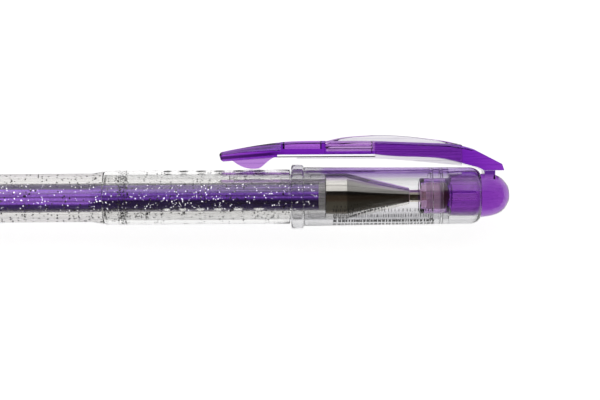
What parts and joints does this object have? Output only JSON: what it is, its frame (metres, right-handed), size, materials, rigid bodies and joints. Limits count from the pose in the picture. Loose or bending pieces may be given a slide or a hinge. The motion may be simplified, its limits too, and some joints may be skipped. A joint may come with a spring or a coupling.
{
  "type": "gel pen",
  "caption": "Capped gel pen: clear barrel with violet glitter gel ink, soft dimpled grip, screw-on metal nose cone and a pull-off cap with an arched tinted clip.",
  "frame": {"origin": "on the pen's axis, at the barrel's rear rim, where the tail plug's button meets it", "axes": "+X along the pen from the tail towards the cap's crown; +Y from the axis towards the clip; +Z across the clip's width, up when the pen lies on its side"},
  "size_m": [0.149, 0.0178, 0.0122],
  "materials": {
    "clear_barrel": "clear moulded, with fine glitter specks",
    "soft_grip": "clear soft elastomer, slightly frosted",
    "tail_violet": "tinted transparent",
    "cone_chrome": "polished plating",
    "refill_clear": "clear extruded tube",
    "ink_violet": "wet gel with silver glitter",
    "grease_clear": "clear grease",
    "holder_white": "translucent white",
    "valve_ball_steel": "ground",
    "tip_metal": "fine turned nickel silver",
    "ball_metal": "polished carbide",
    "spring_steel": "drawn wire",
    "clear_cap": "clear moulded",
    "crown_violet": "tinted transparent",
    "seal_pink": "soft translucent elastomer",
    "clip_violet": "tinted transparent",
    "clear_lens": "clear moulded"
  },
  "bodies": {
    "barrel": {"barrel": "clear_barrel", "grip_sleeve": "soft_grip", "tail_plug": "tail_violet"},
    "refill": {"refill_tube": "refill_clear", "gel_ink": "ink_violet", "tip_holder": "holder_white", "writing_tip": "tip_metal", "tip_spring": "spring_steel"},
    "follower": {"ink_follower": "grease_clear"},
    "valve_ball": {"valve_ball": "valve_ball_steel"},
    "writing_ball": {"writing_ball": "ball_metal"},
    "nose_cone": {"nose_cone": "cone_chrome"},
    "cap": {"cap_shell": "clear_cap", "crown_plug": "crown_violet", "tip_seal": "seal_pink"},
    "clip": {"clip_bar": "clip_violet", "clip_lens": "clear_lens"}
  },
  "joints": [
    {"name": "refill_advance", "type": "slide", "parent": "barrel", "child": "refill", "axis": [1, 0, 0], "range_m": [0, 0.003]},
    {"name": "cone_unscrew", "type": "hinge", "parent": "refill", "child": "nose_cone", "pos_m": [0.113, 0, 0], "axis": [1, 0, 0], "range_deg": [0, 1440]},
    {"name": "cap_pull", "type": "slide", "parent": "refill", "child": "cap", "axis": [1, 0, 0], "range_m": [0, 0.045]},
    {"name": "clip_flex", "type": "hinge", "parent": "cap", "child": "clip", "pos_m": [0.1435, 0.00478, 0], "axis": [0, 0, -1], "range_deg": [0, 3.5], "stiffness_Nm_per_rad": 0.9},
    {"name": "ball_roll", "type": "hinge", "parent": "refill", "child": "writing_ball", "pos_m": [0.131, 0, 0], "axis": [0, 1, 0], "continuous": true},
    {"name": "valve_float", "type": "slide", "parent": "refill", "child": "valve_ball", "axis": [1, 0, 0], "range_m": [-0.0019, 0]},
    {"name": "follower_advance", "type": "slide", "parent": "refill", "child": "follower", "axis": [1, 0, 0], "range_m": [0, 0.0824], "deforming": ["gel_ink"]}
  ],
  "couplings": [
    {"joint": "cone_unscrew", "follows": "refill_advance", "rad_per_m": 8377.6}
  ]
}
